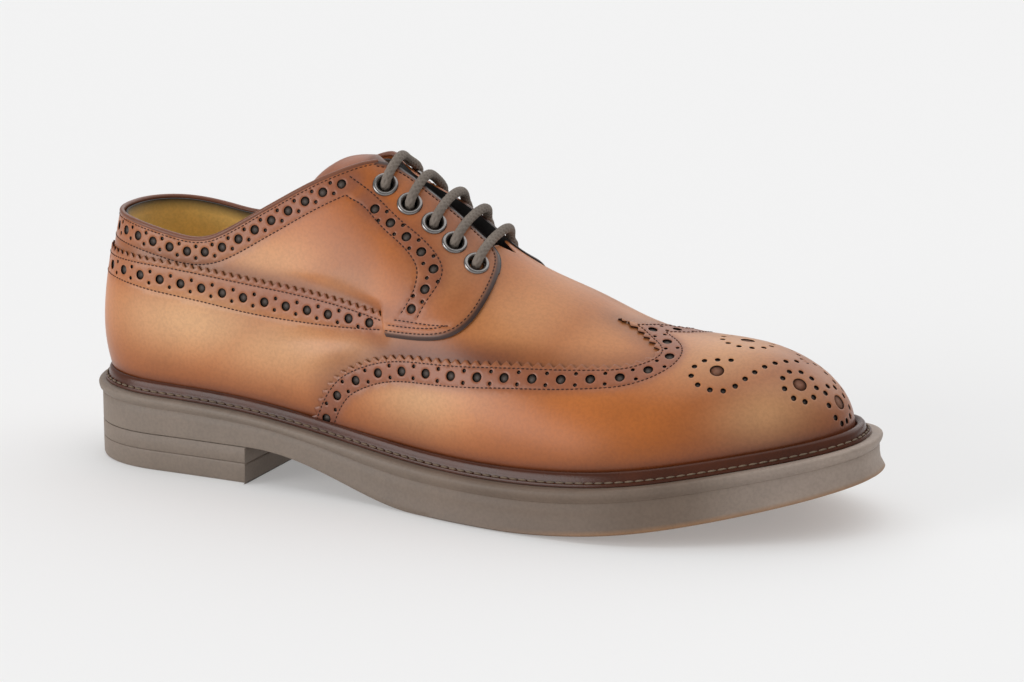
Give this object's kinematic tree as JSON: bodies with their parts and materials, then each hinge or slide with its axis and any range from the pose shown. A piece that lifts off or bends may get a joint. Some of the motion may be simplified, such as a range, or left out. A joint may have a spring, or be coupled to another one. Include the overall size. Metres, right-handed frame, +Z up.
{
  "type": "derby shoe",
  "caption": "Wingtip brogue derby shoe for the right foot: leather upper with open lacing over a tongue, welted to a rubber sole with a low heel",
  "frame": {"origin": "middle of the bounding box in plan, on the plane that the heel and forefoot stand on", "axes": "+X from the heel to the toe, +Y to the inner (medial) side of the foot, +Z up"},
  "size_m": [0.304, 0.1116, 0.1204],
  "materials": {
    "leather_tan": "burnished calf, satin",
    "leather_burnished": "burnished calf, satin, darker at the edges",
    "leather_lining": "suede lining",
    "leather_welt": "polished dark welt",
    "rubber_sole": "satin moulded rubber",
    "gunmetal": "dark plated, glossy",
    "lace_cord": "waxed braided cord"
  },
  "bodies": {
    "root": {"upper": "leather_tan", "vamp": "leather_tan", "wing_cap": "leather_burnished", "facing_lateral": "leather_burnished", "facing_medial": "leather_burnished", "tongue": "leather_tan", "insole": "leather_lining", "welt": "leather_welt", "outsole": "rubber_sole", "heel_block": "rubber_sole", "heel_lift": "rubber_sole", "eyelet_lateral_1": "gunmetal", "eyelet_lateral_2": "gunmetal", "eyelet_lateral_3": "gunmetal", "eyelet_lateral_4": "gunmetal", "eyelet_lateral_5": "gunmetal", "eyelet_medial_1": "gunmetal", "eyelet_medial_2": "gunmetal", "eyelet_medial_3": "gunmetal", "eyelet_medial_4": "gunmetal", "eyelet_medial_5": "gunmetal", "lace_bar_1": "lace_cord", "lace_bar_2": "lace_cord", "lace_bar_3": "lace_cord", "lace_bar_4": "lace_cord", "lace_bar_5": "lace_cord"}
  },
  "joints": []
}
